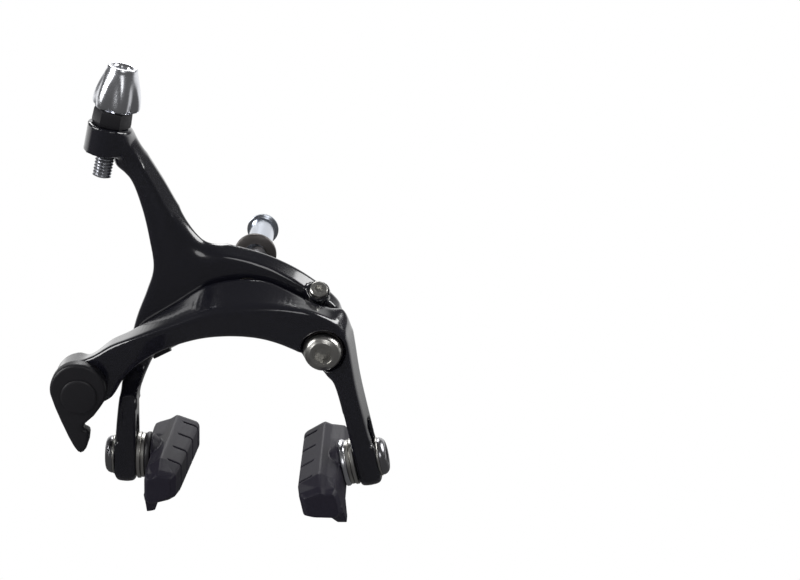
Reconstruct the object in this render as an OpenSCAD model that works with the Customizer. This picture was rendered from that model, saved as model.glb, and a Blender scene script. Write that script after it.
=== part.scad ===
// Dual pivot caliper brake for the front wheel of a road bicycle.
// Millimetres, +Z up. The origin is on the mounting bolt's axis at the seat
// face of the bracket; -Y is the front of the brake, +X its right side seen
// from the front. Arms fully open, shoes at the bottom of their slots.

/* [Pivots] */
// height range of a shoe in its slot
shoe_travel = 10; // [6:1:14]
// sideways place of the side pivot
side_x = 24.4; // [22:0.1:27]
// height of the side pivot
side_z = -14.2; // [-16:0.1:-11]
// radius of the side pivot's shank
side_r = 4; // [3:0.25:5]
// running clearance of every turning bore, on the radius
fit = 0.05; // [0.02:0.01:0.08]

/* [Bracket and bolt] */
// thickness of the bracket plate
bracket_t = 4.4; // [3.5:0.1:5]
// radius of the mounting bolt
bolt_r = 3; // [2.5:0.25:4]
// reach of the mounting bolt behind the seat face
bolt_reach = 50; // [40:1:60]
// distance from the seat face to the loose washer
washer_y = 30; // [26:0.5:34]
// outside radius of the loose washer
washer_r = 7; // [6:0.25:8]
// length of the recessed nut
nut_len = 27.5; // [20:0.5:32]
// sleeve radius of the recessed nut
nut_r = 4.1; // [3.8:0.1:4.5]
// flange radius of the recessed nut
nut_flange_r = 5.3; // [4.5:0.1:6]

/* [Arms] */
// depth of the front arm's rear face
front_rear = -13; // [-13.4:0.1:-12.8]
// depth of the rear arm's front face
rear_front = -12; // [-12.4:0.1:-11]
// depth of the rear arm's rear face
rear_rear = -4.7; // [-5.2:0.1:-4.6]
// how round the long edges of the arms are
edge_round = 0.2; // [0.1:0.05:0.35]
// steps between two stations of an arm
arm_steps = 3; // [2:1:5]

/* [Shoes] */
// height of the shoe bolts
shoe_z = -53; // [-56:0.1:-50]
// depth of the shoe bolts
shoe_y = -16.5; // [-18:0.1:-15]
// inner face of a leg's foot
foot_in = 33.6; // [33:0.1:36]
// outer face of a leg's foot
foot_out = 41.2; // [40:0.1:43]
// width of a leg's foot along the wheel
foot_w = 11.6; // [10:0.1:13]
// lean of the right leg's foot outwards
leg_tilt = 13; // [0:1:16]
// width of a leg's slot
slot_w = 6.4; // [6.1:0.1:7]
// distance of the braking face from the middle plane
face_x = 18.4; // [16:0.1:21]
// front end of a pad
pad_front = -43.5; // [-48:0.5:-40]
// rear end of a pad
pad_rear = 7.5; // [4:0.5:10]
// number of tread grooves in a pad
grooves = 5; // [3:1:6]

/* [Cable] */
// sideways place of the barrel's top
barrel_x = -38.5; // [-41:0.1:-35]
// depth of the barrel's axis
barrel_y = -12.7; // [-14:0.1:-12]
// height of the barrel's top
barrel_z = 73.6; // [70:0.1:76]
// lean of the barrel to the right
barrel_lean = 10.8; // [8:0.1:14]
// radius of the barrel's skirt
barrel_r = 7.4; // [6:0.1:8]
// sideways place of the release lever's axis
qr_x = -52.1; // [-55:0.1:-50]
// height of the release lever's axis
qr_z = -28; // [-30:0.1:-26]
// radius of the release lever's disc
qr_r = 8.9; // [8:0.1:10]
// offset of the cable clamp from the lever's axis
qr_offset = 1.2; // [0.8:0.1:1.6]

/* [Hidden] */
$fn = 48;
gap = 0.05;
side = [side_x, 0, side_z];
lean = [-sin(barrel_lean), 0, -cos(barrel_lean)];
barrel_top = [barrel_x, barrel_y, barrel_z];

black = [0.05, 0.05, 0.06];
rubber = [0.16, 0.15, 0.18];
steel = [0.72, 0.72, 0.72];
chrome = [0.85, 0.86, 0.88];
grey = [0.42, 0.41, 0.39];

// Shared shapes.

// a cylinder along Y, from depth a to depth b
module rod_y(r, a, b, x = 0, z = 0) {
  translate([x, a, z]) rotate([-90, 0, 0]) cylinder(h = b - a, r = r);
}

// a cylinder along X, from place a to place b
module rod_x(r, a, b, y = 0, z = 0) {
  translate([a, y, z]) rotate([0, 90, 0]) cylinder(h = b - a, r = r);
}

// a cylinder from point p to point q
module rod(p, q, r) {
  d = q - p;
  translate(p) rotate([0, acos(d[2] / norm(d)), atan2(d[1], d[0])])
    cylinder(h = norm(d), r = r);
}

// a flat shape in X and Z given thickness from depth a to depth b
module slab_y(a, b) {
  translate([0, b, 0]) rotate([90, 0, 0]) linear_extrude(b - a) children();
}

// a smooth point between p1 and p2, led by the points before and after
function between(p0, p1, p2, p3, t) = 0.5 * (2 * p1 + (p2 - p0) * t
  + (2 * p0 - 5 * p1 + 4 * p2 - p3) * t * t
  + (3 * p1 - p0 - 3 * p2 + p3) * t * t * t);

// stations with steps - 1 smooth sections added between each pair
function flowing(s, steps) = let (n = len(s) - 1) [
  for (i = [0:n - 1]) for (k = [0:steps - 1])
    between(s[max(i - 1, 0)], s[i], s[i + 1], s[min(i + 2, n)], k / steps),
  s[n]];

// a section with its corners rounded over the share f of both edges
function rounded(s, f, n = 2) = let (m = len(s)) [
  for (i = [0:m - 1]) let (p = s[i], a = p + (s[(i + m - 1) % m] - p) * f,
    b = p + (s[(i + 1) % m] - p) * f)
  for (k = [0:n]) let (t = k / n)
    a * (1 - t) * (1 - t) + p * 2 * t * (1 - t) + b * t * t];

function mean(s) = [for (i = [0:len(s) - 1]) 1] * s / len(s);

// a closed body through a row of sections
module loft(s) {
  m = len(s[0]);
  n = len(s);
  points = concat([for (q = s) each q], [mean(s[0]), mean(s[n - 1])]);
  sides = [for (i = [0:n - 2]) for (j = [0:m - 1])
    let (a = i * m + j, b = i * m + (j + 1) % m)
    each [[a, b, b + m], [a, b + m, a + m]]];
  ends = [for (j = [0:m - 1]) each [[(j + 1) % m, j, n * m],
    [(n - 1) * m + j, (n - 1) * m + (j + 1) % m, n * m + 1]]];
  polyhedron(points, concat(sides, ends), convexity = 6);
}

// a hexagonal prism along +Z with w across its flats
module hex(w, h) {
  cylinder(h = h, r = w / sqrt(3), $fn = 6);
}

// Arms.

// a station of the front arm: inner edge, front ridge and outer edge in X and
// Z, then the depths of the inner edge, the ridge and the rear face
function front_station(a, b, c, ya, yb, yr) = [[a[0], ya, a[1]],
  [b[0], yb, b[1]], [c[0], yr, c[1]], [a[0], yr, a[1] + 0.5]];

front_stations = [
  front_station([-47.6, -35], [-57, -21.6], [-56.4, -22.6], -21.6, -22.2, -13.6),
  front_station([-42.2, -32], [-48.2, -17.6], [-48.4, -19.4], -22, -23.4, -13.4),
  front_station([-38.2, -25.2], [-42, -14], [-42.4, -15.4], -22, -24.6, front_rear),
  front_station([-33, -19.8], [-35.6, -11], [-36, -11.8], -22, -25.6, front_rear),
  front_station([-24.4, -14.4], [-24.4, -6.6], [-24, -3.6], -22, -26, front_rear),
  front_station([-11.4, -10.6], [-10.6, -1.6], [-11.2, 5.4], -22, -26, front_rear),
  front_station([3.4, -10.4], [4.3, 0.4], [3.9, 4.9], -22, -26, front_rear),
  front_station([15.6, -14.2], [18.2, 0], [17, 1], -22, -25.4, front_rear),
  front_station([23.8, -20.6], [26.4, -3.4], [25.6, -2.8], -21.6, -24, front_rear),
  front_station([27.8, -25.6], [31.8, -11], [33.8, -9.4], -21.8, -22.8, -12.4),
  front_station([29.8, -31.6], [34.6, -25.4], [36.2, -24.6], -22, -22.4, -11.4),
  front_station([31.8, -40], [37.7, -39.4], [38.9, -39], -22, -22.3, -10.9),
  front_station([33.4, -46.6], [39.6, -46], [40.7, -45.8], -22, -22.3, -10.9),
  front_station([35, -53], [41.2, -52.6], [42, -52.4], -22, -22.2, -10.9)];

// children drawn for an untilted right side, set on the right leg, or
// mirrored onto the left one when s is -1
module on_side(s) {
  if (s > 0) translate([38, 0, -52.4]) rotate([0, -leg_tilt, 0])
    translate([-(foot_in + foot_out) / 2, 0, -shoe_z]) children();
  else mirror([1, 0, 0]) children();
}

module foot() {
  h = foot_w / 2;
  low = shoe_z - 8.2;
  translate([foot_in - 0.1, shoe_y, 0]) rotate([90, 0, 90]) {
    linear_extrude(foot_out - foot_in + 0.2) {
      translate([-h, low + 4]) square([foot_w, 10]);
      translate([-h + 4, low]) square([foot_w - 8, 5]);
      for (y = [-h + 4, h - 4]) translate([y, low + 4]) circle(4);
    }
    linear_extrude(4) translate([-h, shoe_z + 5]) square([foot_w, shoe_travel + 2.6]);
  }
}

module slot() {
  for (z = [shoe_z, shoe_z + shoe_travel]) rod_x(slot_w / 2, 25, 50, shoe_y, z);
  translate([25, shoe_y - slot_w / 2, shoe_z]) cube([25, slot_w, shoe_travel]);
}

// the room beside a leg that the washers sweep
module washer_room() {
  for (side = [[20, foot_in], [foot_out, 50]]) {
    for (z = [shoe_z, shoe_z + shoe_travel]) rod_x(9, side[0], side[1], shoe_y, z);
    translate([side[0], shoe_y - 9, shoe_z]) cube([side[1] - side[0], 18, shoe_travel]);
  }
}

// places on the centering screw's axis, t above the face of its head
screw_dir = [0.15, -0.6, 0.78];
screw_face = [22.5, -12.2, 3.2];
function on_screw(t) = screw_face + screw_dir * t;

module c_arm() color(black) difference() {
  union() {
    loft([for (s = flowing(front_stations, arm_steps)) rounded(s, edge_round)]);
    rod_y(8.4, -22.7, front_rear - 0.6, qr_x, qr_z);
    rod_y(6.9, -20.5, front_rear, side_x, side_z);
    on_side(1) foot();
  }
  on_side(1) { slot(); washer_room(); }
  rod_y(side_r + fit, -30, 0, side_x, side_z);
  rod_y(7, -30, -20, side_x, side_z);
  rod_y(7.1, front_rear - 0.05, 0, side_x, side_z);
  rod_y(4.8 + fit, -30, 0, qr_x, qr_z);
  rod_y(qr_r + 0.5, -30, -22.5, qr_x, qr_z);
  rod(on_screw(-8), on_screw(6), 4.5);
}

// a station of the rear arm: outer edge, front ridge and inner edge in X and
// Z, then the depths of the outer edge, the ridge and the rear face
function rear_station(a, b, c, ya, yb, yc, yr) = [[a[0], ya, a[1]],
  [b[0], yb, b[1]], [c[0], yc, c[1]], [c[0] - 0.2, yr, c[1]], [a[0], yr, a[1]]];

rear_stations = [
  rear_station([-46.4, 49.4], [-39, 53.4], [-36.8, 55], -14, -17.5, -12, -8),
  rear_station([-41.8, 42.4], [-34.6, 46.4], [-32.8, 47.4], -13.5, -16.6, -10, -6.8),
  rear_station([-36.6, 37.6], [-29.8, 37.4], [-26, 36], -12.6, -14.8, -8, -5.4),
  rear_station([-33.2, 28], [-25, 27.4], [-20.8, 26.6], -11.6, -13.2, -7, rear_rear),
  rear_station([-31, 17.6], [-19.8, 17], [-14.2, 18.2], -11, rear_front, -7, rear_rear),
  rear_station([-29.8, 8], [-14, 9], [-7, 9], -11, rear_front, -7, rear_rear),
  rear_station([-32, 0], [-12, -3], [-9, -4], -11, rear_front, -9, rear_rear),
  rear_station([-35.2, -8.6], [-20.4, -10.6], [-19.6, -11], -11, rear_front, -9, rear_rear),
  rear_station([-37.4, -17.4], [-28.4, -17.4], [-27.2, -17.8], -11.4, rear_front, -9, rear_rear),
  rear_station([-38.6, -25.4], [-32, -25.2], [-31, -25.6], -11.8, rear_front, -10, -6),
  rear_station([-39.4, -32.6], [-33, -32], [-32.2, -32.4], -20.6, -21.2, -19, -10.4),
  rear_station([-40.2, -39], [-33.8, -39], [-33.2, -39], -21.6, -22, -20, -10.9),
  rear_station([-40.8, -46], [-34.4, -46], [-33.8, -46], -21.8, -22.2, -21, -10.9),
  rear_station([-41, -53], [-34.8, -53], [-34.1, -53], -22, -22.2, -21.4, -10.9)];

reach_stations = [
  rear_station([-16, -6], [-16, 13], [-17, 17], -11.4, -11.8, -6.4, rear_rear - 0.15),
  rear_station([-5, -7], [-4.6, 12.2], [-5.4, 14.8], -11.4, -11.6, -6.4, rear_rear - 0.15),
  rear_station([5, -6], [5.4, 9.6], [5.4, 11.9], -11.4, -11.4, -6.4, rear_rear - 0.15),
  rear_station([13, -1.6], [14, 5.4], [14.8, 7.7], -11.2, -11.4, -6.4, rear_rear - 0.15),
  rear_station([18.6, -3.4], [21.4, 0.8], [22.8, 2.4], -11.2, -11.4, -6.4, rear_rear - 0.15),
  rear_station([24, -6.2], [28, -3], [29, -3], -11.2, -11.4, -6.4, rear_rear - 0.15),
  rear_station([29.6, -10.4], [31.6, -8.6], [32.6, -8.6], -11.2, -11.4, -6.4, rear_rear - 0.15)];

function on_barrel(t) = barrel_top + lean * t;

module y_arm() color(black) difference() {
  union() {
    loft([for (s = flowing(rear_stations, arm_steps)) rounded(s, edge_round)]);
    loft([for (s = flowing(reach_stations, arm_steps)) rounded(s, edge_round)]);
    rod_y(10, rear_front - 0.15, rear_rear + 0.05, 0, 0);
    rod(on_barrel(28), on_barrel(18.9), 7.2);
    rod(on_screw(-5.5), on_screw(-1.2), 3.8);
    on_side(-1) foot();
  }
  on_side(-1) { slot(); washer_room(); }
  rod_y(bolt_r + fit, -30, 0);
  rod_y(5.6, -30, -7.8);
  rod(on_barrel(33), on_barrel(12), bolt_r + fit);
  rod(on_barrel(19), on_barrel(8), 8.4);
  rod(on_screw(-6.6), on_screw(2), 2 + fit);
  rod(on_screw(-1.6), on_screw(4), 3.1);
}

// Bracket, bolt and pivots.

module bracket() color(black) difference() {
  union() {
    slab_y(-bracket_t, 0) {
      circle(9);
      translate([side_x, side_z]) circle(6.6);
      translate([-4.6, -10.8]) circle(3.6);
      polygon([[4.4, 7.8], [side_x + 3.2, side_z + 5.7], [side_x - 3.2, side_z - 5.7],
        [-4.4, -7.8]]);
    }
    rod_y(6, front_rear + 0.1, -bracket_t, side_x, side_z);
  }
  rod_y(bolt_r, -30, 10);
  rod_y(side_r, -30, 10, side_x, side_z);
  translate([-9, -3.1, -16]) cube([8.8, 1.8, 7]);
}

module mounting_bolt() color(chrome) {
  rod_y(bolt_r, -11.6, -0.5);
  rod_y(bolt_r - 0.3, -1, washer_y + 1);
  rod_y(bolt_r, 0, washer_y);
  rod_y(bolt_r, washer_y + 0.4, bolt_reach - 0.6);
  rod_y(bolt_r - 0.4, bolt_reach - 1, bolt_reach);
}

// a loose washer, hanging a little askew on the bolt
module mount_washer() color(grey) difference() {
  rod_y(washer_r, washer_y, washer_y + 1.8, -0.7, -0.3);
  rod_y(bolt_r + 0.8, washer_y - 1, washer_y + 3, -0.7, -0.3);
}

module recessed_nut() color(chrome) difference() {
  union() {
    rod_y(nut_r, washer_y + 1.85, washer_y + nut_len + 1);
    rod_y(nut_flange_r, washer_y + nut_len - 1.2, washer_y + nut_len);
    rod_y(nut_flange_r - 0.4, washer_y + nut_len, washer_y + nut_len + 1);
  }
  rod_y(bolt_r, washer_y, bolt_reach);
  translate([0, bolt_reach - 0.1, 0]) rotate([-90, 0, 0]) hex(5, 20);
}

module pivot_nut() color(steel) difference() {
  translate([0, -11.2, 0]) rotate([-90, 0, 0]) hex(9, 3);
  rod_y(bolt_r, -20, 0);
}

module pivot_washer() color(steel) difference() {
  rod_y(5.3, -8.2, -7.85);
  rod_y(bolt_r, -20, 0);
}

module thrust_washer() color(grey) difference() {
  rod_y(8, -bracket_t - 0.25, -bracket_t);
  rod_y(bolt_r, -20, 0);
}

// the domed head stands proud of the arm, with a flat rim round its socket
module side_pivot_bolt() color(steel) difference() {
  union() {
    translate([side_x, -25.4, side_z]) rotate([-90, 0, 0]) rotate_extrude()
      polygon([[0, 0.1], [3.2, 0], [4.1, 0.1], [4.6, 0.6], [5.3, 1.6], [5.8, 2.8], [6.1, 4.4],
        [0, 4.4]]);
    rod_y(side_r, -21.05, -0.2, side_x, side_z);
  }
  rod_y(3.1, -26, -25, side_x, side_z);
  translate([side_x, -25.2, side_z]) rotate([-90, 0, 0]) hex(5, 3.4);
}

module side_pivot_washer() color(grey) difference() {
  rod_y(6.3, -20.95, -20.05, side_x, side_z);
  rod_y(side_r, -30, 0, side_x, side_z);
}

// Return spring.

spring_path = [[-31, -2.9, -23.6], [-18, -2.2, -16.8], [-4.6, -2.2, -10.8],
  [22, -2.2, -22.9], [28.6, -8.8, -26.4]];

// a ring of twelve points round p, square to the direction d
function wire_ring(p, d, r) = let (u = cross(d, [0, 1, 0]) / norm(cross(d, [0, 1, 0])),
  w = cross(d, u) / norm(d)) [for (a = [15:30:345]) p + (u * cos(a) + w * sin(a)) * r];

// a bent round wire
module wire(path, r) {
  n = len(path) - 1;
  loft([for (i = [0:n]) wire_ring(path[i], path[min(i + 1, n)] - path[max(i - 1, 0)], r)]);
}

module return_spring() color(steel) wire(spring_path, 0.9);

// a plastic tube over the wire from point p to point q
module sleeve(p, q) color(black) difference() {
  d = (q - p) / norm(q - p);
  rod(p - d * 0.2, q, 1.7);
  rod(p - d, q + d, 0.92);
}

module left_spring_sleeve() sleeve(spring_path[0], spring_path[0] * 0.6 + spring_path[1] * 0.4);

module right_spring_sleeve() sleeve(spring_path[4], spring_path[4] * 0.3 + spring_path[3] * 0.7);

// Centering screw.

module centering_screw() color(steel) difference() {
  union() {
    rod(on_screw(-6.4), on_screw(-1.5), 2);
    rod(on_screw(-1.55), on_screw(0), 2.8);
  }
  translate(on_screw(-1)) rotate([37.6, 0, 0]) rotate([0, 11, 0]) hex(2.4, 4);
}

// Barrel adjuster.

// children drawn along +Z from the barrel's top, turned onto its axis
module on_axis() {
  translate(barrel_top) rotate([0, 180 + barrel_lean, 0]) children();
}

// a threaded rod between heights a and b with its bore left to the caller
module thread(a, b, r, depth) {
  n = round(b - a);
  rotate_extrude() polygon(concat([[0, a]],
    [for (i = [0:n - 1]) each [[r - depth, a + i], [r, a + i + 0.5]]],
    [[r - depth, a + n], [0, a + n]]));
}

module adjuster_barrel() color(chrome) on_axis() difference() {
  union() {
    rotate_extrude() polygon([[0, 0.3], [3.9, 0.3], [4.2, 0], [4.6, 0.2], [4.8, 0.8],
      [5.6, 5], [6.8, 9.6], [barrel_r, 12.4], [barrel_r - 0.1, 13.1],
      [barrel_r - 0.5, 13.5], [0, 13.5]]);
    translate([0, 0, 13]) cylinder(h = 7, r = 2.5);
    thread(13.8, 35.8, 2.95, 0.4);
  }
  for (i = [0:5]) rotate([0, 0, 60 * i + 14]) rod([7.9, 0, 3.4], [9.2, 0, 16], 2.4);
  translate([0, 0, -1]) cylinder(h = 6.4, r = 2.7);
  translate([0, 0, -1]) cylinder(h = 40, r = 1.2);
}

module adjuster_ring() color(black) on_axis() difference() {
  intersection() {
    translate([0, 0, 13.55]) rotate([0, 0, 20]) hex(11.6, 5.4);
    translate([0, 0, 13.5]) cylinder(h = 6, r = 6.1);
  }
  translate([0, 0, 12]) cylinder(h = 9, r = bolt_r + fit);
}

// Quick release and cable clamp.

// outline of the lever's beak, from its axis
beak = [[-8.75, -1.6], [-7.4, -5.8], [-5.6, -10.4], [-3.3, -15.7], [-1.2, -19.6], [-0.4, -20.6],
  [0.5, -21], [1.4, -20.6], [2.3, -19.4], [3.1, -17], [3.4, -14.4], [3.2, -13.5], [2.6, -13],
  [1.8, -12.7], [1.5, -12.1], [1.8, -11.3], [4.8, -8.5], [8.1, -3.6], [0, 3]];

module qr_lever() color(black) difference() {
  union() {
    rod_y(qr_r, -26.6, -22.6, qr_x, qr_z);
    slab_y(-26.4, -22.7) translate([qr_x, qr_z]) polygon(beak);
    rod_y(4.8, -22.7, -13.7, qr_x, qr_z);
  }
  rod_y(2.5 + fit, -21.5, -10, qr_x, qr_z - qr_offset);
  rod_y(3, -30, -25.8, qr_x, qr_z);
}

module qr_cap() color(black) {
  rod_y(6.2, -27.3, -26.6, qr_x, qr_z);
  rod_y(3, -26.7, -25.8, qr_x, qr_z);
}

module cable_clamp_bolt() color(steel) {
  rod_y(2.5, -21.2, -9, qr_x, qr_z - qr_offset);
  translate([qr_x, -9.9, qr_z - qr_offset]) rotate([-90, 0, 0]) hex(8, 4);
}

module cable_clamp_plate() color(steel) difference() {
  rod_y(5.6, -11.9, -9.95, qr_x, qr_z - qr_offset);
  rod_y(2.5, -20, 0, qr_x, qr_z - qr_offset);
  rod([qr_x - 8.2, barrel_y, qr_z - 20], [qr_x - 0.6, barrel_y, qr_z + 20], 1);
}

// Shoes, drawn for the right side.

pad_back = 30.2;

// one section of a pad at depth y: its braking face, the roof of its tread
// and its holder, shrunk towards the middle by k
function pad_station(y, k, top = 4.3, drop = 0) = [for (p = [[pad_back, 0.8],
  [pad_back - 1.8, 3.1], [face_x + 6.2, top], [face_x, 2.9], [face_x, -4.7],
  [face_x + 3, -6.2], [pad_back - 3, -7.4], [pad_back, -5.4]])
  [25 + (p[0] - 25) * k, y, p[1] * k - drop]];

// a pad, its nose raised by the angle tilt
module pad(tilt) color(rubber) translate([0, shoe_y, shoe_z]) rotate([-tilt, 0, 0])
  translate([0, -shoe_y, 0]) difference() {
    union() {
      loft([for (s = [pad_station(pad_front, 0.72, 3.6, 0.6), pad_station(pad_front + 3, 0.94, 3.8),
        pad_station(pad_front + 9, 1), pad_station(pad_rear - 5, 1),
        pad_station(pad_rear, 0.8)]) rounded(s, 0.16)]);
      loft([[[23.4, -41.4, -4], [30, -41.4, -4], [30, -24, -4], [23.4, -26, -4]],
        [[26.6, -35, -11.6], [29.6, -35.4, -12], [29.6, -31.6, -12], [26.6, -32, -11.6]]]);
    }
    for (i = [1:grooves]) translate([face_x, pad_front + 5
      + (pad_rear - pad_front - 9) * (i - 0.5) / grooves, 0]) {
      translate([-2, -0.7, -8]) cube([3.2, 1.4, 10]);
      translate([0, 0, 1.6]) rotate([0, -13, 0]) translate([-2, -0.7, 0]) cube([7.2, 1.4, 6]);
    }
    rod_x(2.95, 25.8, 40, shoe_y, 0);
    rod_x(5, 28.6, 40, shoe_y, 0);
  }

module shoe_bolt() color(steel) {
  rod_x(2.95, 25.8, foot_out + 2.6, shoe_y, shoe_z);
  rod_x(5, 28.6, pad_back, shoe_y, shoe_z);
}

module bolt_hole() {
  rod_x(2.95 + fit, 20, 50, shoe_y, shoe_z);
}

module cup_washer() color(black) difference() {
  rod_x(7.5, pad_back + gap, 32 - gap, shoe_y, shoe_z);
  bolt_hole();
}

module ball_washer() color(steel) difference() {
  union() {
    rod_x(7.1, 32, 32.7, shoe_y, shoe_z);
    rod_x(7.4, 32.85, foot_in - gap, shoe_y, shoe_z);
    rod_x(6.2, 32.1, foot_in - 0.2, shoe_y, shoe_z);
  }
  bolt_hole();
}

module plain_washer() color(steel) difference() {
  rod_x(6.2, foot_out + gap, foot_out + 0.8, shoe_y, shoe_z);
  bolt_hole();
}

module shoe_nut() color(chrome) difference() {
  translate([foot_out + 0.8, shoe_y, shoe_z]) rotate([0, 90, 0]) rotate_extrude()
    polygon([[0, 0], [5.9, 0], [6, 0.3], [5.9, 1.2], [5.5, 2.2], [4.8, 3], [4, 3.4],
      [0, 3.4]]);
  rod_x(2.95 + fit, 20, foot_out + 2.8, shoe_y, shoe_z);
  translate([foot_out + 2.7, shoe_y, shoe_z]) rotate([0, 90, 0]) hex(5, 5);
}

module left_pad() on_side(-1) pad(2.5);
module left_shoe_bolt() on_side(-1) shoe_bolt();
module left_cup_washer() on_side(-1) cup_washer();
module left_ball_washer() on_side(-1) ball_washer();
module left_plain_washer() on_side(-1) plain_washer();
module left_shoe_nut() on_side(-1) shoe_nut();
module right_pad() on_side(1) pad(-1.5);
module right_shoe_bolt() on_side(1) shoe_bolt();
module right_cup_washer() on_side(1) cup_washer();
module right_ball_washer() on_side(1) ball_washer();
module right_plain_washer() on_side(1) plain_washer();
module right_shoe_nut() on_side(1) shoe_nut();

c_arm();
y_arm();
bracket();
mounting_bolt();
mount_washer();
recessed_nut();
pivot_nut();
pivot_washer();
thrust_washer();
side_pivot_bolt();
side_pivot_washer();
return_spring();
left_spring_sleeve();
right_spring_sleeve();
centering_screw();
adjuster_barrel();
adjuster_ring();
qr_lever();
qr_cap();
cable_clamp_bolt();
cable_clamp_plate();
left_pad();
left_shoe_bolt();
left_cup_washer();
left_ball_washer();
left_plain_washer();
left_shoe_nut();
right_pad();
right_shoe_bolt();
right_cup_washer();
right_ball_washer();
right_plain_washer();
right_shoe_nut();
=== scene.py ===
import bpy, math
import numpy as np
from mathutils import Matrix, Vector


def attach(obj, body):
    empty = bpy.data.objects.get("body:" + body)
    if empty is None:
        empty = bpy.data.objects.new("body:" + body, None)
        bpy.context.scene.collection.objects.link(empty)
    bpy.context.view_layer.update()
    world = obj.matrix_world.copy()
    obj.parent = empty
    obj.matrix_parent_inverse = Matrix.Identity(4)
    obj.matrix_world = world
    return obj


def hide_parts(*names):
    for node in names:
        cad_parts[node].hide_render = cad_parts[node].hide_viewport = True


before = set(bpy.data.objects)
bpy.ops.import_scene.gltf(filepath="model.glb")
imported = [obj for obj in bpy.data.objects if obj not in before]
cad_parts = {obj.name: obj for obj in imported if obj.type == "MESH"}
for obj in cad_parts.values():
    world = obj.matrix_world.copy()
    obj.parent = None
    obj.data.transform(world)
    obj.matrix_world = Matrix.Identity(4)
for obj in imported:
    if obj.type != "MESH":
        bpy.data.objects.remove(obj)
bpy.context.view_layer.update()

# The camera looks at the front of the brake from a little above, with a long
# lens, as a product is photographed on a table. The brake fills the left half.
AZIMUTH, ELEVATION, ROLL = map(math.radians, (0.9, 19.1, -1.2))
FOCAL_PX, FRAME_PX, SENSOR_MM = 2677, 800, 36
DISTANCE, ACROSS, UPWARD = 0.853, -0.0477, 0.0020
back = Vector((math.sin(AZIMUTH) * math.cos(ELEVATION),
               -math.cos(AZIMUTH) * math.cos(ELEVATION), math.sin(ELEVATION)))
right = Vector((math.cos(AZIMUTH), math.sin(AZIMUTH), 0))
up = back.cross(right)
rows = Matrix.Rotation(ROLL, 3, "Z") @ Matrix((right, up, back))
place = rows.transposed() @ Vector((-ACROSS, -UPWARD, DISTANCE))
lens = bpy.data.cameras.new("camera")
lens.sensor_width = SENSOR_MM
lens.lens = FOCAL_PX * SENSOR_MM / FRAME_PX
lens.clip_start = 0.01
camera = bpy.data.objects.new("camera", lens)
camera.matrix_world = Matrix.Translation(place) @ rows.transposed().to_4x4()
bpy.context.scene.collection.objects.link(camera)
bpy.context.scene.camera = camera
bpy.context.scene.view_settings.view_transform = "Standard"

# Both arms are forged aluminium under gloss black paint. Each is drawn as a
# row of stations along its length, and the skin flows smoothly through them.


def flowing(stations, steps):
    """Catmull-Rom curve through the stations: each point follows the cubic
    that passes its own station and is led by the two beside it."""
    s = np.asarray(stations, float)
    p = np.concatenate([s[:1], s, s[-1:]])
    t = (np.arange(steps) / steps)[None, :, None, None]
    a, b, c, d = (p[i:len(p) - 3 + i, None] for i in range(4))
    curve = 0.5 * (2 * b + (c - a) * t + (2 * a - 5 * b + 4 * c - d) * t ** 2
                   + (3 * b - a - 3 * c + d) * t ** 3)
    return np.concatenate([curve.reshape(-1, *s.shape[1:]), s[-1:]])


def rounded(sections, share, n=5):
    """Each corner becomes the parabola from a point on the edge before it to
    one on the edge after it, both at the given share of the edge."""
    p = np.asarray(sections, float)
    a = p + (np.roll(p, 1, 1) - p) * share
    b = p + (np.roll(p, -1, 1) - p) * share
    t = (np.arange(n + 1) / n)[None, None, :, None]
    arc = a[:, :, None] * (1 - t) ** 2 + p[:, :, None] * 2 * t * (1 - t) + b[:, :, None] * t ** 2
    return arc.reshape(len(p), -1, 3)


def skin(rings):
    """Points and faces of a closed body: quads between neighbouring rings and
    a fan to the middle of each end ring."""
    k, m = rings.shape[:2]
    points = np.concatenate([rings.reshape(-1, 3), rings[:1].mean(1), rings[-1:].mean(1)])
    i, j = np.meshgrid(np.arange(k - 1), np.arange(m), indexing="ij")
    a, b = (i * m + j).ravel(), (i * m + (j + 1) % m).ravel()
    j = np.arange(m)
    q = (j + 1) % m
    return points, [np.stack([a, a + m, b + m, b], 1),
                    np.stack([j, q, np.full(m, k * m)], 1),
                    np.stack([(k - 1) * m + q, (k - 1) * m + j, np.full(m, k * m + 1)], 1)]


def body(name, shells, material=None):
    """One object from several closed bodies, in metres. A shell whose signed
    volume, the sum of the tetrahedra from the origin, is negative is turned
    so that its faces point outwards."""
    points, faces, base = [], [], 0
    for p, groups in shells:
        fans = [p[g[:, [0, k, k + 1]]] for g in groups for k in range(1, g.shape[1] - 1)]
        t = np.concatenate(fans)
        inside_out = (t[:, 0] * np.cross(t[:, 1], t[:, 2])).sum() < 0
        for g in groups:
            faces += ((g[:, ::-1] if inside_out else g) + base).tolist()
        points.append(p)
        base += len(p)
    mesh = bpy.data.meshes.new(name)
    mesh.from_pydata(np.concatenate(points) * 0.001, [], faces)
    mesh.validate()
    obj = bpy.data.objects.new(name, mesh)
    bpy.context.scene.collection.objects.link(obj)
    if material:
        mesh.materials.append(material)
    return obj


def turned(profile, origin, axis, n=72, flutes=None):
    """A body of revolution: rows of (distance along the axis, radius, share
    of hexagon), where the radius becomes a hexagon's as the share goes to 1.
    flutes(height, angle) may take a depth off the radius."""
    h, r, x = np.asarray(profile, float).T
    angle = np.arange(n) * 2 * np.pi / n
    hexagon = math.cos(math.pi / 6) / np.cos((angle % (np.pi / 3)) - np.pi / 6)
    radius = r[:, None] * (1 - x[:, None] + x[:, None] * hexagon[None])
    if flutes:
        radius = radius - flutes(h[:, None], angle[None])
    axis = np.asarray(axis, float) / np.linalg.norm(axis)
    side = np.cross([0, 1, 0] if abs(axis[1]) < 0.9 else [1, 0, 0], axis)
    side /= np.linalg.norm(side)
    rings = (np.asarray(origin, float) + h[:, None, None] * axis
             + radius[..., None] * (np.cos(angle)[:, None] * side
                                    + np.sin(angle)[:, None] * np.cross(axis, side)))
    return skin(rings)


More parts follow.
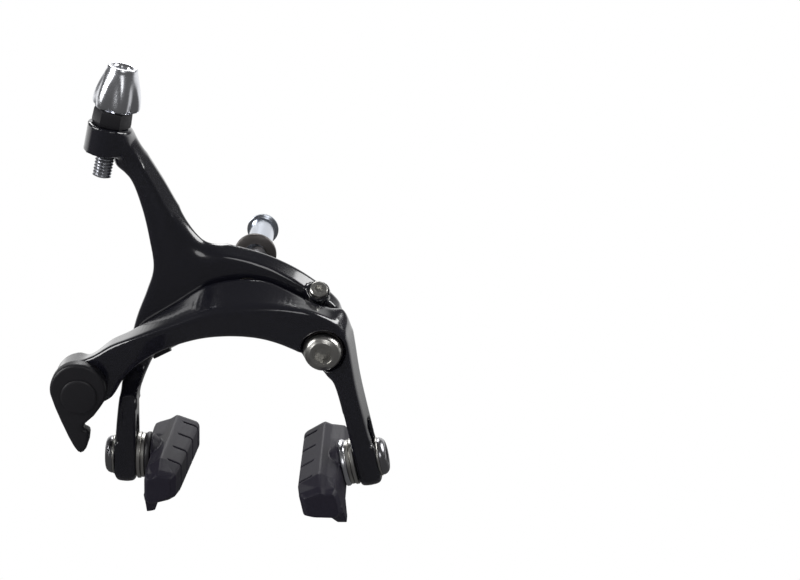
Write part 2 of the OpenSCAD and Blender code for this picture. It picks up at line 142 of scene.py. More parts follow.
def bake(obj):
    """Writes the modifiers' result into the object's own mesh."""
    graph = bpy.context.evaluated_depsgraph_get()
    mesh = bpy.data.meshes.new_from_object(obj.evaluated_get(graph))
    obj.modifiers.clear()
    obj.data = mesh


def carve(obj, tools):
    """Joins obj's own overlapping shells and cuts the tools away."""
    for tool in tools:
        step = obj.modifiers.new("cut", "BOOLEAN")
        step.operation = "DIFFERENCE"
        step.solver = "EXACT"
        step.use_self = True
        step.object = tool
    bake(obj)
    for tool in tools:
        bpy.data.objects.remove(tool)


def soften(obj, voxel, rounds, spots=()):
    """Rebuilds the skin as an even net and relaxes it: every point moves
    towards the mean of its neighbours, then as far back, so edges round over
    while the body keeps its size. Within a spot, a centre, a radius and a
    number of rounds, points only move forward, weighted by one minus the
    squared share of the radius, so a joint there fills in and flows."""
    step = obj.modifiers.new("net", "REMESH")
    step.mode = "VOXEL"
    step.voxel_size = voxel
    bake(obj)
    mesh = obj.data
    n = len(mesh.vertices)
    p = np.empty(n * 3)
    mesh.vertices.foreach_get("co", p)
    p = p.reshape(-1, 3)
    e = np.empty(len(mesh.edges) * 2, int)
    mesh.edges.foreach_get("vertices", e)
    a, b = e.reshape(-1, 2).T

    def relaxed(p, a, b):
        """From each point to the mean of the points its edges a-b join it to."""
        n = len(p)
        count = np.bincount(a, minlength=n) + np.bincount(b, minlength=n)
        total = np.stack([np.bincount(a, p[b, i], n) + np.bincount(b, p[a, i], n)
                          for i in range(3)], 1)
        return total / np.maximum(count, 1)[:, None] - p

    for k in range(rounds * 2):
        p = p + relaxed(p, a, b) * (0.5 if k % 2 == 0 else -0.5)
    for centre, radius, more in spots:
        share = np.linalg.norm(p - np.array(centre) * 0.001, axis=1) / (radius * 0.001)
        near = np.flatnonzero(share < 1.3)
        index = np.full(n, -1)
        index[near] = np.arange(len(near))
        both = (index[a] >= 0) & (index[b] >= 0)
        weight = np.clip(1 - share[near] ** 2, 0, 1)[:, None] * 0.6
        q = p[near]
        for _ in range(more):
            q = q + relaxed(q, index[a[both]], index[b[both]]) * weight
        p[near] = q
    mesh.vertices.foreach_set("co", p.ravel())
    mesh.update()
    mesh.polygons.foreach_set("use_smooth", np.ones(len(mesh.polygons), bool))


def finish_of(name, colour, metallic, roughness, coat=0.0, coat_rough=0.05, bump=0.0,
              grain=400.0, vary=0.0, specular=0.5):
    """A surface finish: one base colour, a roughness that changes a little
    from place to place and a fine bump, both from noise on Object coordinates."""
    mat = bpy.data.materials.new(name)
    mat.use_nodes = True
    net = mat.node_tree
    shader = net.nodes["Principled BSDF"]
    shader.inputs["Base Color"].default_value = (*colour, 1)
    shader.inputs["Metallic"].default_value = metallic
    shader.inputs["Roughness"].default_value = roughness
    shader.inputs["Specular IOR Level"].default_value = specular
    shader.inputs["Coat Weight"].default_value = coat
    shader.inputs["Coat Roughness"].default_value = coat_rough
    where = net.nodes.new("ShaderNodeTexCoord")
    noise = net.nodes.new("ShaderNodeTexNoise")
    noise.inputs["Scale"].default_value = grain
    noise.inputs["Detail"].default_value = 3
    net.links.new(where.outputs["Object"], noise.inputs["Vector"])
    if vary:
        ramp = net.nodes.new("ShaderNodeMapRange")
        ramp.inputs["To Min"].default_value = roughness - vary
        ramp.inputs["To Max"].default_value = roughness + vary
        net.links.new(noise.outputs["Fac"], ramp.inputs["Value"])
        net.links.new(ramp.outputs["Result"], shader.inputs["Roughness"])
    if bump:
        relief = net.nodes.new("ShaderNodeBump")
        relief.inputs["Strength"].default_value = bump
        relief.inputs["Distance"].default_value = 0.0002
        net.links.new(noise.outputs["Fac"], relief.inputs["Height"])
        net.links.new(relief.outputs["Normal"], shader.inputs["Normal"])
    return mat


gloss_black = finish_of("gloss_black_paint", (0.006, 0.006, 0.010), 0, 0.22, coat=1.0,
                        coat_rough=0.09, bump=0.01, grain=900, vary=0.03)

# The front arm holds the release lever at its left end, arches over the tyre
# and comes down on the right to its shoe. Its upper front face leans back.
FRONT_REAR, EDGE, STEPS = -13.0, 0.2, 8
SIDE_X, SIDE_Z = 24.4, -14.2
LEVER_X, LEVER_Z, LEVER_R = -52.1, -28.0, 8.9
SHOE_Y, SHOE_Z, SHOE_TRAVEL = -16.5, -53.0, 10.0
FOOT_IN, FOOT_MID, FOOT_OUT, FOOT_W, FOOT_DROP = 34.5, 37.4, 41.6, 11.6, 8.2
FOOT_CORNER, FOOT_TOP, WEB_LOW, WEB_TOP, WEB_THICK = 4, 5.8, 5, 17.6, 3.9
SLOT_W, SLOT_SPARE, WASHER_ROOM = 6.4, 0.3, 9
LEG_LEAN = math.radians(13)
LEANT_FOOT_X, LEANT_FOOT_Z = 38, -52.4
ARM_NET, ARM_ROUNDS = 0.00036, 26
SCREW_FACE = np.array([22.5, -12.2, 3.2])
SCREW_DIR = np.array([0.15, -0.6, 0.78])


def front_station(a, b, c, ya, yb, yr):
    """A section of the front arm: its lower edge a, its ridge b and its rear
    top edge c, in X and Z, at depths ya, yb and yr."""
    return [[a[0], ya, a[1]], [b[0], yb, b[1]], [c[0], yr, c[1]], [a[0], yr, a[1] + 0.5]]


front_stations = [
    front_station([-47.6, -35], [-57, -21.6], [-56.4, -22.6], -21.6, -22.2, -13.6),
    front_station([-42.2, -32], [-48.2, -17.6], [-48.4, -19.4], -22, -23.4, -13.4),
    front_station([-38.2, -25.6], [-42, -13.6], [-42.4, -14.6], -22, -24.6, FRONT_REAR),
    front_station([-33, -20.3], [-35.6, -10.6], [-36, -11.2], -22, -25.6, FRONT_REAR),
    front_station([-24.4, -15], [-24.4, -6.4], [-24, -3.2], -22, -26, FRONT_REAR),
    front_station([-11.4, -11.1], [-10.6, -1.6], [-11.2, 5.4], -22, -26, FRONT_REAR),
    front_station([3.4, -10.9], [4.3, 0.4], [3.9, 7.2], -22, -26, FRONT_REAR),
    front_station([15.6, -14.8], [18.2, 0], [17, 1.6], -22, -25.4, FRONT_REAR),
    front_station([23.8, -21.2], [26.4, -3.4], [26.2, -1.6], -21.6, -24, FRONT_REAR),
    front_station([25.7, -23.3], [29.3, -6.8], [31, -0.9], -21.7, -23.4, -12),
    front_station([27.8, -25.6], [31.8, -11], [33.6, -8.6], -21.8, -22.8, -12.4),
    front_station([29.8, -31.6], [34.6, -25.4], [36.2, -24.6], -22, -22.4, -11.4),
    front_station([31.8, -40], [38.2, -39.4], [39.5, -39], -22, -22.3, -10.9),
    front_station([33.6, -46.6], [40.2, -46], [41.3, -45.8], -22, -22.3, -10.9),
    front_station([35, -53], [41.2, -52.6], [42, -52.4], -22, -22.2, -10.9)]


def sided(shell, side):
    """A shell drawn for an upright right leg: on the right it is turned by
    the lean of that leg about its foot, on the left it is mirrored in X."""
    p, groups = shell
    if side < 0:
        return p * [-1, 1, 1], groups
    x, z = p[:, 0] - FOOT_MID, p[:, 2] - SHOE_Z
    c, s = math.cos(LEG_LEAN), math.sin(LEG_LEAN)
    return np.stack([LEANT_FOOT_X + x * c - z * s, p[:, 1],
                     LEANT_FOOT_Z + x * s + z * c], 1), groups


def prism_x(outline, a, b):
    """An outline in Y and Z given width along X."""
    outline = np.asarray(outline, float)
    return skin(np.stack([np.column_stack([np.full(len(outline), x), outline]) for x in (a, b)]))


def long_hole(r, a, b):
    """Two half circles of radius r over the shoe's travel, joined, along X."""
    turn = np.linspace(0, np.pi, 25)
    arc = np.stack([np.cos(turn), np.sin(turn)], 1) * r
    return prism_x(np.concatenate([arc + [SHOE_Y, SHOE_Z + SHOE_TRAVEL + SLOT_SPARE],
                                   -arc + [SHOE_Y, SHOE_Z]]), a, b)


def foot():
    """The flat-sided end of a leg, its lower corners quarter circles, and
    the thinner web that joins it to the leg."""
    h, low, r = FOOT_W / 2, SHOE_Z - FOOT_DROP, FOOT_CORNER
    turn = np.linspace(0, np.pi / 2, 9)
    front = np.stack([h - r + r * np.sin(turn), low + r - r * np.cos(turn)], 1)
    back = front[::-1] * [-1, 1]
    top = [[h, SHOE_Z + FOOT_TOP], [-h, SHOE_Z + FOOT_TOP]]
    web = [[y, SHOE_Z + z] for y, z in ((-h, WEB_LOW), (h, WEB_LOW), (h, WEB_TOP), (-h, WEB_TOP))]
    end = np.concatenate([front, top, back])
    return [prism_x(end + [SHOE_Y, 0], FOOT_IN - 0.1, FOOT_OUT + 0.1),
            prism_x(np.array(web) + [SHOE_Y, 0], FOOT_IN - 0.1, FOOT_IN + WEB_THICK)]


def foot_edges(side):
    """Spots along the two lower edges of a foot, where it is rounded."""
    return [(sided((np.array([[x, y, SHOE_Z - FOOT_DROP]]), None), side)[0][0], 3.8, 60)
            for x in (FOOT_IN, FOOT_OUT) for y in (-20.5, -16.4, -12.3)]


def leg_tools(side):
    """The slot for the shoe bolt, and the flat rooms beside the foot."""
    return [body("tool", [sided(long_hole(r, a, b), side)])
            for r, a, b in ((SLOT_W / 2, 25, 50), (WASHER_ROOM, 20, FOOT_IN + 0.1),
                            (WASHER_ROOM, FOOT_OUT, 50))]


def post(r, a, b, x=0.0, z=0.0, n=64):
    """A plain shaft along Y from depth a to depth b."""
    return turned([[a, r, 0], [b, r, 0]], [x, 0, z], [0, 1, 0], n)


front_arm = body("front_arm_skin", [
    skin(rounded(flowing(front_stations, STEPS), EDGE)),
    turned([[-22.7, 7.9, 0], [-22.5, 8.3, 0], [-22.1, 8.4, 0], [FRONT_REAR - 0.6, 8.4, 0]],
           [LEVER_X, 0, LEVER_Z], [0, 1, 0]),
    post(6.9, -20.5, FRONT_REAR, SIDE_X, SIDE_Z)] + [sided(f, 1) for f in foot()], gloss_black)
carve(front_arm, leg_tools(1) + [
    body("tool", [post(7, -30, -20, SIDE_X, SIDE_Z)]),
    body("tool", [post(7.1, FRONT_REAR - 0.05, 0, SIDE_X, SIDE_Z)]),
    body("tool", [post(4.05, -30, 0, SIDE_X, SIDE_Z)]),
    body("tool", [post(4.85, -30, 0, LEVER_X, LEVER_Z)]),
    body("tool", [post(LEVER_R + 0.5, -30, -22.5, LEVER_X, LEVER_Z)]),
    body("tool", [turned([[-8, 4.5, 0], [6, 4.5, 0]], SCREW_FACE, SCREW_DIR)])])
soften(front_arm, ARM_NET, ARM_ROUNDS, [
    ((21, -13.5, 0), 6, 60), ((31, -13.5, -3), 7, 140), ((32, -16, -32.7), 5, 120),
    ((-47, -18, -24), 8, 90), ((SIDE_X, -20.5, SIDE_Z), 10, 40)] + foot_edges(1))
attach(front_arm, "front_arm")
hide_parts("c_arm")

# The rear arm turns on the mounting bolt. Its neck rises to the cable boss,
# its left leg carries a shoe, and its right end holds the centering screw.
REAR_FRONT, REAR_REAR = -12.0, -4.7
LEAN = math.radians(10.8)
BARREL_TOP = np.array([-38.5, -12.7, 73.6])
LEAN_DIR = np.array([-math.sin(LEAN), 0, -math.cos(LEAN)])
CONE_TOP = BARREL_TOP + [0.5, 0, 0]


def rear_station(a, b, c, ya, yb, yc, yr):
    """A section of the rear arm: its left edge a, its ridge b and its right
    edge c, in X and Z, at depths ya, yb and yc; its back lies at yr."""
    return [[a[0], ya, a[1]], [b[0], yb, b[1]], [c[0], yc, c[1]],
            [c[0] - 0.2, yr, c[1]], [a[0], yr, a[1]]]


rear_stations = [
    rear_station([-46.4, 49.4], [-39, 53.4], [-36.3, 55.2], -14, -17.5, -12, -8),
    rear_station([-41.8, 42.4], [-34.6, 46.4], [-32.8, 47.4], -13.5, -16.6, -10, -6.8),
    rear_station([-36.6, 37.6], [-29.8, 37.4], [-26.4, 36], -12.6, -14.8, -8, -5.4),
    rear_station([-33.2, 28], [-25, 27.4], [-21.3, 26.6], -11.6, -13.2, -7, REAR_REAR),
    rear_station([-31, 17.6], [-19.8, 17], [-14.9, 18.2], -11, REAR_FRONT, -7, REAR_REAR),
    rear_station([-29.8, 8], [-14, 9], [-7, 9], -11, REAR_FRONT, -7, REAR_REAR),
    rear_station([-32, 0], [-12, -3], [-9, -4], -11, REAR_FRONT, -9, REAR_REAR),
    rear_station([-35.2, -8.6], [-20.4, -10.6], [-19.6, -11], -11, REAR_FRONT, -9, REAR_REAR),
    rear_station([-37.4, -17.4], [-28.4, -17.4], [-27.2, -17.8], -11.4, REAR_FRONT, -9,
                 REAR_REAR),
    rear_station([-39.1, -25.4], [-32.5, -25.2], [-31.7, -25.6], -11.8, REAR_FRONT, -10, -6),
    rear_station([-40, -32.6], [-34.2, -32], [-33.9, -32.4], -20.6, -21.2, -19, -10.4),
    rear_station([-40.7, -39], [-33.8, -39], [-33.2, -39], -21.6, -22, -20, -10.9),
    rear_station([-41.2, -46], [-34.4, -46], [-33.8, -46], -21.8, -22.2, -21, -10.9),
    rear_station([-41, -53], [-34.8, -53], [-34.1, -53], -22, -22.2, -21.4, -10.9)]
reach_stations = [
    rear_station([-16, -6], [-16, 13], [-17, 17], -11.4, -11.8, -6.4, -4.85),
    rear_station([-5, -7], [-4.6, 12.2], [-5.4, 14.8], -11.4, -11.6, -6.4, -4.85),
    rear_station([5, -6], [5.4, 9.6], [5.4, 11.9], -11.4, -11.4, -6.4, -4.85),
    rear_station([13, -1.6], [14, 5.4], [14.8, 7.7], -11.2, -11.4, -6.4, -4.85),
    rear_station([18.6, -3.4], [21.4, 0.8], [22.8, 2.4], -11.2, -11.4, -6.4, -4.85),
    rear_station([24, -6.2], [27, -2.4], [28, -2.2], -11.2, -11.4, -6.4, -4.85),
    rear_station([27, -8.6], [29.4, -6.4], [30.2, -6.2], -11.2, -11.4, -6.4, -4.85)]
rear_arm = body("rear_arm_skin", [
    skin(rounded(flowing(rear_stations, STEPS), EDGE)),
    skin(rounded(flowing(reach_stations, STEPS), EDGE)),
    post(10, -11.3, REAR_REAR + 0.05),
    turned([[18.9, 7.1, 0], [28, 7.1, 0]], BARREL_TOP, LEAN_DIR),
    turned([[-5.5, 3.8, 0], [-1.2, 3.8, 0]], SCREW_FACE, SCREW_DIR)]
    + [sided(f, -1) for f in foot()], gloss_black)
carve(rear_arm, leg_tools(-1) + [
    body("tool", [post(5.6, -30, -7.8)]), body("tool", [post(3.05, -30, 0)]),
    body("tool", [turned([[12, 3.05, 0], [33, 3.05, 0]], BARREL_TOP, LEAN_DIR)]),
    body("tool", [turned([[8, 8.4, 0], [19, 8.4, 0]], BARREL_TOP, LEAN_DIR)]),
    body("tool", [turned([[-1.6, 3.1, 0], [4, 3.1, 0]], SCREW_FACE, SCREW_DIR)])])
soften(rear_arm, ARM_NET, ARM_ROUNDS, [
    ((-17, -9, 18), 11, 260), ((-36, -16, -32.5), 5, 120), ((-38, -12.7, 48), 9, 160),
    ((31, -9, -8), 6, 60)] + foot_edges(-1))
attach(rear_arm, "rear_arm")
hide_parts("y_arm")

# The barrel adjuster is chromed brass: a fluted cone with a hollow rimmed top
# that seats the cable housing, on a threaded stem through the boss.
chrome = finish_of("polished_chrome", (0.80, 0.81, 0.85), 1.0, 0.25, bump=0.03, grain=1500,
                   vary=0.03)


def edged(obj, degrees=32):
    """Smooth shading that stays crisp at edges sharper than the angle."""
    mesh = obj.data
    mesh.polygons.foreach_set("use_smooth", np.ones(len(mesh.polygons), bool))
    mesh.set_sharp_from_angle(angle=math.radians(degrees))
    return obj


def flutes(height, angle):
    """Six hollows between six lobes, deepening from the top to the skirt."""
    wave = 0.5 + 0.5 * np.cos(6 * (angle + 0.35))
    return 1.3 * wave ** 1.5 * np.clip((height - 2.5) / 9.5, 0, 1) * (height < 13.5) * (height > 1)


cone = [[5.4, 0.9, 0], [5.4, 2.6, 0], [1.0, 2.7, 0], [0.5, 3.0, 0], [0.2, 3.5, 0], [0, 4.1, 0],
        [0.1, 4.45, 0], [0.4, 4.65, 0], [0.8, 4.75, 0], [1.2, 4.8, 0]] + [
    [h, 4.8 + 2.75 * math.sin((h - 1.2) / 10.8 * math.pi / 2) ** 1.15, 0]
    for h in np.linspace(1.8, 12, 20)] + [
    [12.6, 7.45, 0], [13.1, 7.2, 0], [13.4, 6.8, 0], [13.5, 6.4, 0], [13.5, 2.6, 0],
    [14.5, 2.5, 0]]
stem = [[h, 2.55 + (0.4 if k % 2 else 0), 0] for k, h in enumerate(np.arange(18.0, 35.6, 0.5))]
barrel = body("barrel_cone", [turned(cone, CONE_TOP, LEAN_DIR, 192, flutes),
                              turned([[13, 2.5, 0]] + stem + [[35.8, 2.3, 0]], BARREL_TOP,
                                     LEAN_DIR)], chrome)
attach(edged(barrel, 40), "barrel")
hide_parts("adjuster_barrel")

# The detent ring under the barrel is moulded black plastic with six soft
# corners. It sits on the boss and keeps the barrel from turning by itself.
black_plastic = finish_of("black_plastic", (0.010, 0.0095, 0.012), 0, 0.42, bump=0.12, grain=2600,
                          vary=0.05)


def ring(profile, origin, axis, n=72):
    """A body of revolution whose profile closes on itself, like a washer's:
    the same points as turned gives, with the last row joined to the first."""
    points, _ = turned(profile, origin, axis, n)
    k = len(profile)
    i, j = np.meshgrid(np.arange(k), np.arange(n), indexing="ij")
    i, j, up, on = i.ravel(), j.ravel(), (i.ravel() + 1) % k, (j.ravel() + 1) % n
    return points[:k * n], [np.stack([i * n + j, up * n + j, up * n + on, i * n + on], 1)]


detent = body("detent_ring", [ring([[13.55, 3.05, 0], [13.55, 5.2, 0.6], [13.9, 5.7, 0.8],
                                    [14.5, 6.0, 0.85], [17.6, 6.15, 0.85], [18.5, 6.1, 0.8],
                                    [18.9, 5.8, 0.6], [18.95, 3.05, 0]], BARREL_TOP, LEAN_DIR)],
              black_plastic)
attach(edged(detent, 40), "ring")
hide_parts("adjuster_ring")

# The side pivot is a satin steel bolt with a domed head and a hex socket. It
# carries the front arm and is screwed into the bracket, over a dark washer.
satin_steel = finish_of("satin_steel", (0.62, 0.61, 0.58), 1.0, 0.3, bump=0.05, grain=1800,
                        vary=0.06)
dark_steel = finish_of("dark_steel", (0.13, 0.12, 0.115), 0.8, 0.42, bump=0.06, grain=1800,
                       vary=0.06)
SIDE = np.array([SIDE_X, 0, SIDE_Z])
dome = [[-21.8, 1.6, 1], [-21.8, 2.87, 1], [-25.0, 2.87, 1], [-25.03, 2.95, 0.5],
        [-25.05, 3.1, 0], [-25.35, 3.2, 0], [-25.4, 3.4, 0], [-25.38, 3.9, 0],
        [-25.28, 4.15, 0], [-25.0, 4.45, 0]] + [
    [-25.0 + 3.6 * (1 - math.cos(a)), 4.45 + 1.65 * math.sin(a), 0]
    for a in np.linspace(0.3, math.pi / 2, 10)] + [
    [-21.1, 6.1, 0], [-21.0, 6.0, 0], [-21.0, 4.0, 0], [-0.2, 4.0, 0]]
pivot = body("side_pivot_dome", [turned(dome, SIDE, [0, 1, 0], 96)], satin_steel)
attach(edged(pivot), "base")
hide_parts("side_pivot_bolt")


def disc(name, inner, outer, a, b, origin, axis, node, rider, material, lip=0.15):
    """A flat washer with broken edges, in place of its plain solid."""
    piece = body(name, [ring([[a, inner, 0], [a, outer - lip, 0], [a + lip, outer, 0],
                              [b - lip, outer, 0], [b, outer - lip, 0], [b, inner, 0]],
                             origin, axis)], material)
    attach(edged(piece, 50), rider)
    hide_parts(node)


disc("side_washer", 4.0, 6.3, -20.95, -20.05, SIDE, [0, 1, 0], "side_pivot_washer", "base",
     dark_steel)

# The mounting bolt runs back through the fork crown. A loose dark washer and
# the recessed nut, a bright zinc sleeve with a flange, hang at its rear end.
zinc = finish_of("bright_zinc", (0.62, 0.66, 0.74), 1.0, 0.2, bump=0.04, grain=1500, vary=0.05)
disc("loose_washer", 3.8, 7.0, 30, 31.8, [-0.7, 0, -0.3], [0, 1, 0], "mount_washer", "base",
     dark_steel, 0.3)
sleeve_nut = body("sleeve_nut", [ring([
    [31.85, 3.0, 0], [31.85, 3.9, 0], [32.05, 4.1, 0], [56.1, 4.1, 0], [56.3, 4.4, 0],
    [56.35, 5.1, 0], [56.5, 5.3, 0], [57.3, 5.3, 0], [57.6, 5.1, 0], [58.2, 4.9, 0],
    [58.45, 4.6, 0], [58.5, 4.2, 0], [58.5, 3.2, 0], [58.2, 2.89, 1], [50, 2.89, 1],
    [49.9, 3.0, 0]],
    [0, 0, 0], [0, 1, 0])], zinc)
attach(edged(sleeve_nut, 35), "base")
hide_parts("recessed_nut")

# Each shoe bolt ends outside the leg in a domed steel nut with a hex socket,
# over a flat washer. Steel ball rings and a cup ring sit between leg and pad.
nut_steel = finish_of("nut_steel", (0.40, 0.40, 0.42), 1.0, 0.22, bump=0.05, grain=1800, vary=0.05)
for side, word in ((-1, "left"), (1, "right")):
    stud, far = (sided((np.array([[x, SHOE_Y, SHOE_Z]]), None), side)[0][0] for x in (0, 1))
    out = far - stud
    nut = body(word + "_dome_nut", [turned([
        [43.4, 1.6, 1], [43.4, 2.89, 1], [44.55, 2.89, 1], [44.68, 3.2, 0.3], [44.7, 3.9, 0],
        [44.6, 4.4, 0], [44.4, 4.9, 0], [44.1, 5.3, 0], [43.7, 5.65, 0], [43.3, 5.85, 0],
        [42.9, 5.98, 0], [42.5, 5.98, 0], [42.3, 5.8, 0], [42.3, 3.1, 0]], stud, out, 96)],
               nut_steel)
    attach(edged(nut), word + "_shoe")
    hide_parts(word + "_shoe_nut")
    disc(word + "_flat_washer", 3.0, 6.2, 41.65, 42.3, stud, out, word + "_plain_washer",
         word + "_shoe", satin_steel)
    ball = body(word + "_ball_rings", [ring([
        [32.0, 3.0, 0], [32.0, 6.9, 0], [32.15, 7.1, 0], [32.95, 7.1, 0], [33.1, 6.9, 0],
        [33.12, 6.4, 0], [33.25, 6.4, 0], [33.27, 7.2, 0], [33.42, 7.4, 0], [34.3, 7.4, 0],
        [34.45, 7.2, 0], [34.45, 3.0, 0]], stud, out)], satin_steel)
    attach(edged(ball, 50), word + "_shoe")
    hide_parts(word + "_ball_washer")
    cup = body(word + "_cup_ring", [ring([
        [30.25, 3.0, 0], [30.25, 7.2, 0], [30.5, 7.5, 0], [31.2, 7.5, 0], [31.75, 7.2, 0],
        [31.95, 6.7, 0], [31.95, 3.0, 0]], stud, out)], black_plastic if side < 0 else chrome)
    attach(edged(cup, 50), word + "_shoe")
    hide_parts(word + "_cup_washer")

# The pads are moulded rubber, longer than they are tall, with bent tread
# grooves across the braking face and a fin at the front that guides the rim.
rubber = finish_of("pad_rubber", (0.0145, 0.0125, 0.022), 0, 0.46, bump=0.25, grain=2200,
                   vary=0.08, specular=0.3)
PAD_BACK, PAD_REAR_BACK, FACE_X, PAD_FRONT, PAD_REAR = 30.2, 32, 16.9, -43.5, 7.5
GROOVES_Y, GROOVE_HALF, ROOF_SLOPE = (-33.5, -21.5, -9.5, 2.0), 0.5, math.radians(13)


def pad_station(y, k, top=5.9, drop=0.0, back=PAD_BACK):
    """A section of the pad at depth y, scaled by k about its middle: back,
    ridge at the top, sloping roof, braking face and slanted underside."""
    outline = np.array([[back, 1.2], [back - 0.8, 3.0], [26.6, top - 1.5], [24.4, top],
                        [FACE_X, 3.3], [FACE_X, -4.7], [FACE_X + 3, -6.2], [back - 2.6, -8],
                        [back, -6.6]])
    return np.stack([25 + (outline[:, 0] - 25) * k, np.full(9, y), outline[:, 1] * k - drop], 1)


def tapered(shell, by):
    """A shell whose braking side draws back towards the front end, by the
    given share of the depth, and whose back stays where it is."""
    p, groups = shell
    p = p.copy()
    p[:, 0] += by * (6 - p[:, 1]) * (PAD_BACK - p[:, 0]) / (PAD_BACK - FACE_X)
    return p, groups


def turn_x(shell, angle):
    """A shell turned about the shoe bolt's axis, which runs along X."""
    c, s = math.cos(angle), math.sin(angle)
    p, groups = shell
    y, z = p[:, 1] - SHOE_Y, p[:, 2]
    return np.stack([p[:, 0], SHOE_Y + y * c - z * s, SHOE_Z + y * s + z * c], 1), groups


def placed(shell, taper, tilt, side):
    """A piece of the pad, tapered, tilted by degrees and set on its leg."""
    return sided(turn_x(tapered(shell, taper), math.radians(-tilt)), side)


def slab(x, y, z, lean, foot_at):
    """A box between pairs of x, y and z, leant about Y, then moved."""
    p = np.array([[[x[i], y[j], z[k]] for j, k in ((0, 0), (1, 0), (1, 1), (0, 1))]
                  for i in (0, 1)])
    c, s = math.cos(lean), math.sin(lean)
    turned_x, turned_z = p[..., 0] * c - p[..., 2] * s, p[..., 0] * s + p[..., 2] * c
    return skin(np.stack([turned_x, p[..., 1], turned_z], 2) + np.asarray(foot_at))


for side, word, tilt, taper in ((-1, "left", 2.5, 0.055), (1, "right", -1.5, 0)):
    block = skin(rounded([
        pad_station(PAD_FRONT, 0.72, 4.6, 0.2), pad_station(PAD_FRONT + 2.5, 0.92, 4.6),
        pad_station(PAD_FRONT + 9, 1), pad_station(-8.4, 1),
        pad_station(-5, 1, back=PAD_REAR_BACK), pad_station(PAD_REAR - 2, 1, back=PAD_REAR_BACK),
        pad_station(PAD_REAR, 0.93, back=PAD_REAR_BACK - 0.4)], 0.14, 3))
    hub = turned([[26, 3, 0], [27.4, 5.4, 0], [29.6, 7.1, 0], [30.15, 6.9, 0], [30.15, 4, 0]],
                 [0, SHOE_Y, 0], [1, 0, 0])
    fin = skin(np.array([
        [[23.4, -41.4, -4], [30, -41.4, -4], [30, -24, -4], [23.4, -26, -4]],
        [[26.6, -35, -11.6], [29.6, -35.4, -12], [29.6, -31.6, -12], [26.6, -32, -11.6]]]))
    cuts = [cut for y in GROOVES_Y for cut in (
        slab((-2, 1.1), (-GROOVE_HALF, GROOVE_HALF), (-5.4, 3), 0, (FACE_X, y, 0)),
        slab((-2, 5.6), (-GROOVE_HALF, GROOVE_HALF), (0, 6), ROOF_SLOPE, (FACE_X, y, 2.0)))]
    pad = body(word + "_rubber", [placed(p, taper, tilt, side) for p in (block, fin, hub)], rubber)
    carve(pad, [body("tool", [placed(cut, taper, tilt, side)]) for cut in cuts])
    soften(pad, 0.0003, 2)
    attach(pad, word + "_block")
    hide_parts(word + "_pad")

# The release lever is moulded black plastic: a round disc with a beak that
# hangs down to a hooked tip, and a cap over its hub.
turn = np.radians(np.linspace(-23.5, 190, 61))
lever_outline = np.concatenate([
    np.stack([LEVER_R * np.cos(turn), LEVER_R * np.sin(turn)], 1),
    [[-7.4, -5.8], [-5.6, -10.4], [-3.3, -15.7], [-1.9, -18.5], [-1.2, -19.6], [-0.4, -20.6],
     [0.5, -21], [1.4, -20.6], [2.3, -19.4], [3.1, -17], [3.4, -14.4], [3.2, -13.5], [2.6, -13],
     [1.8, -12.7], [1.5, -12.1], [1.8, -11.3], [4.8, -8.5], [6.8, -5.7]]])


def raised(outline, levels, origin, heart):
    """An outline in X and Z carried forward along Y; each level gives the
    depth and how far the outline is drawn in there, square to its edge. Each
    end closes towards the heart, a point that sees the whole outline."""
    edge = np.roll(outline, -1, 0) - np.roll(outline, 1, 0)
    normal = np.stack([edge[:, 1], -edge[:, 0]], 1) / np.linalg.norm(edge, axis=1)[:, None]
    y, inset = np.array(levels).T
    drawn = outline - normal * inset[:, None, None] + np.array(origin)
    depth = np.broadcast_to(y[:, None], drawn.shape[:2])
    rings = np.stack([drawn[..., 0], depth, drawn[..., 1]], 2)
    middle = np.array(heart) + origin
    ends = rings[[0, -1]]
    ends[..., [0, 2]] = middle + (ends[..., [0, 2]] - middle) * 0.02
    return skin(np.concatenate([ends[:1], rings, ends[1:]]))


lever = body("lever_blade", [raised(lever_outline, [(-22.6, 0.0), (-25.4, 0.0), (-25.9, 0.12),
                                                   (-26.3, 0.35), (-26.55, 0.75), (-26.6, 1.1)],
                                    (LEVER_X, LEVER_Z), (-1, -12)),
                             post(4.8, -22.7, -13.7, LEVER_X, LEVER_Z)], black_plastic)
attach(edged(lever, 40), "lever")
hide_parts("qr_lever")
cap = body("lever_cap", [turned([
    [-27.3, 4.9, 0], [-27.22, 5.3, 0], [-27.0, 5.65, 0], [-26.6, 5.65, 0], [-26.55, 3, 0],
    [-25.8, 3, 0]], [LEVER_X + 0.3, 0, LEVER_Z - 1.9], [0, 1, 0])], black_plastic)
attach(edged(cap, 50), "lever")
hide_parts("qr_cap")

# The centering screw is a small steel socket screw, turned into the end of
# the rear arm. Its head stands in a round seat.
screw = body("small_screw", [turned([[-1.0, 0.8, 1], [-1.0, 1.35, 1], [-0.05, 1.38, 1],
                                     [0, 1.6, 0.3], [0, 2.5, 0], [-0.25, 2.8, 0], [-1.55, 2.8, 0],
                                     [-1.57, 2, 0], [-6.4, 2, 0]], SCREW_FACE, SCREW_DIR)],
             satin_steel)
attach(edged(screw), "screw")
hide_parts("centering_screw")

# The small pieces behind the arms keep their own solids under the finishes
# of their metals and plastic.
for names, material in (
        (("bracket", "left_spring_sleeve", "right_spring_sleeve"), black_plastic),
        (("mounting_bolt",), chrome), (("thrust_washer",), dark_steel),
        (("pivot_nut", "pivot_washer", "return_spring", "cable_clamp_bolt", "cable_clamp_plate",
          "left_shoe_bolt", "right_shoe_bolt"), satin_steel)):
    for name in names:
        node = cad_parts[name]
        node.data.materials.clear()
        node.data.materials.append(material)

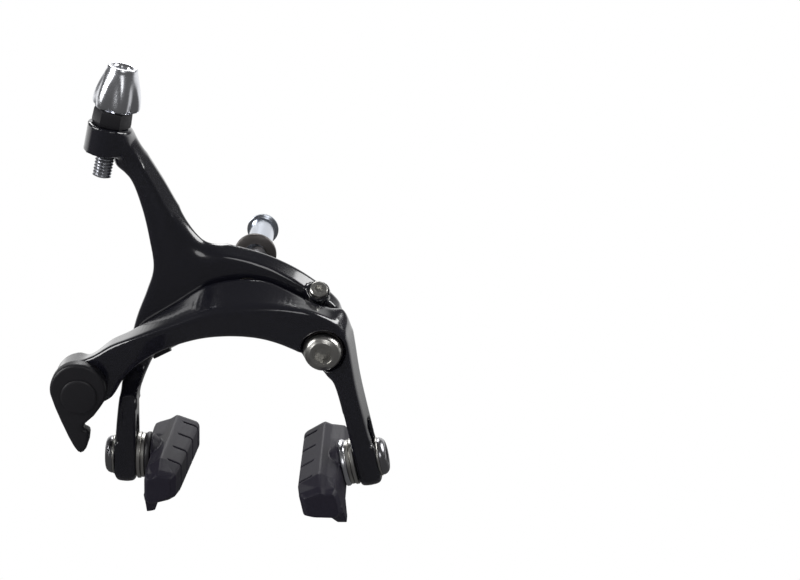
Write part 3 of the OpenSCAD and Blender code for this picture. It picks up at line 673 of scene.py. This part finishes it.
# The brake stands over a plain white floor, in the soft light of a studio:
# wide lamps above and beside it, and a room that is dark behind the camera.
FLOOR_HALF, FLOOR_Z, ROOM_DARK = 3, -0.075, 0.09
ground = bpy.data.meshes.new("floor")
ground.from_pydata([(x * FLOOR_HALF, y * FLOOR_HALF, FLOOR_Z)
                    for x, y in ((-1, -1), (1, -1), (1, 1), (-1, 1))], [], [(0, 1, 2, 3)])
floor = bpy.data.objects.new("floor", ground)
bpy.context.scene.collection.objects.link(floor)
white = bpy.data.materials.new("floor_white")
white.use_nodes = True
net = white.node_tree
shader = net.nodes["Principled BSDF"]
shader.inputs["Base Color"].default_value = (0.9, 0.9, 0.9, 1)
shader.inputs["Roughness"].default_value = 0.9


def larger(net, a, b):
    """The larger of two values."""
    node = net.nodes.new("ShaderNodeMath")
    node.operation = "MAXIMUM"
    net.links.new(a, node.inputs[0])
    net.links.new(b, node.inputs[1])
    return node.outputs[0]


def background(net, axis, low, high, rest):
    """The backdrop as the camera sees it, white at strength 1, and as gloss
    and glass see it: white at the back, where the axis passes high, falling
    smoothly to the dark of the room in front of low. Other rays get rest."""
    where = net.nodes.new("ShaderNodeTexCoord")
    split = net.nodes.new("ShaderNodeSeparateXYZ")
    net.links.new(where.outputs[axis], split.inputs[0])
    fall = net.nodes.new("ShaderNodeMapRange")
    fall.interpolation_type = "SMOOTHSTEP"
    fall.inputs["From Min"].default_value = low
    fall.inputs["From Max"].default_value = high
    fall.inputs["To Min"].default_value = ROOM_DARK
    net.links.new(split.outputs["Y"], fall.inputs["Value"])
    path = net.nodes.new("ShaderNodeLightPath")
    camera_ray = path.outputs["Is Camera Ray"]
    mirrored = larger(net, path.outputs["Is Glossy Ray"], path.outputs["Is Transmission Ray"])
    seen = net.nodes.new("ShaderNodeEmission" if axis == "Object" else "ShaderNodeBackground")
    seen.inputs["Color"].default_value = (1, 1, 1, 1)
    net.links.new(larger(net, fall.outputs["Result"], camera_ray), seen.inputs["Strength"])
    mix = net.nodes.new("ShaderNodeMixShader")
    net.links.new(larger(net, camera_ray, mirrored), mix.inputs[0])
    net.links.new(rest, mix.inputs[1])
    net.links.new(seen.outputs[0], mix.inputs[2])
    return mix.outputs[0]


net.links.new(background(net, "Object", 0, 0.35, shader.outputs[0]),
              net.nodes["Material Output"].inputs["Surface"])
floor.data.materials.append(white)

for name, spot, size, power in (("left", (-0.85, -0.35, 0.45), 0.6, 6.0),
                                ("right", (0.8, 0.3, 0.6), 0.6, 6.0),
                                ("rear", (-0.1, 0.9, 0.75), 0.5, 4.0),
                                ("front", (0.25, -1.0, 0.6), 0.45, 1.2)):
    lamp = bpy.data.lights.new(name, "AREA")
    lamp.shape = "DISK"
    lamp.size = size
    lamp.energy = power
    obj = bpy.data.objects.new(name, lamp)
    obj.location = spot
    obj.rotation_euler = (Vector((0, 0, 0)) - Vector(spot)).to_track_quat("-Z", "Y").to_euler()
    bpy.context.scene.collection.objects.link(obj)

world = bpy.data.worlds.new("studio")
bpy.context.scene.world = world
world.use_nodes = True
net = world.node_tree
room = net.nodes["Background"]
room.inputs["Color"].default_value = (0.9, 0.9, 1, 1)
room.inputs["Strength"].default_value = 0.35
net.links.new(background(net, "Generated", 0.72, 1.0, room.outputs[0]),
              net.nodes["World Output"].inputs["Surface"])
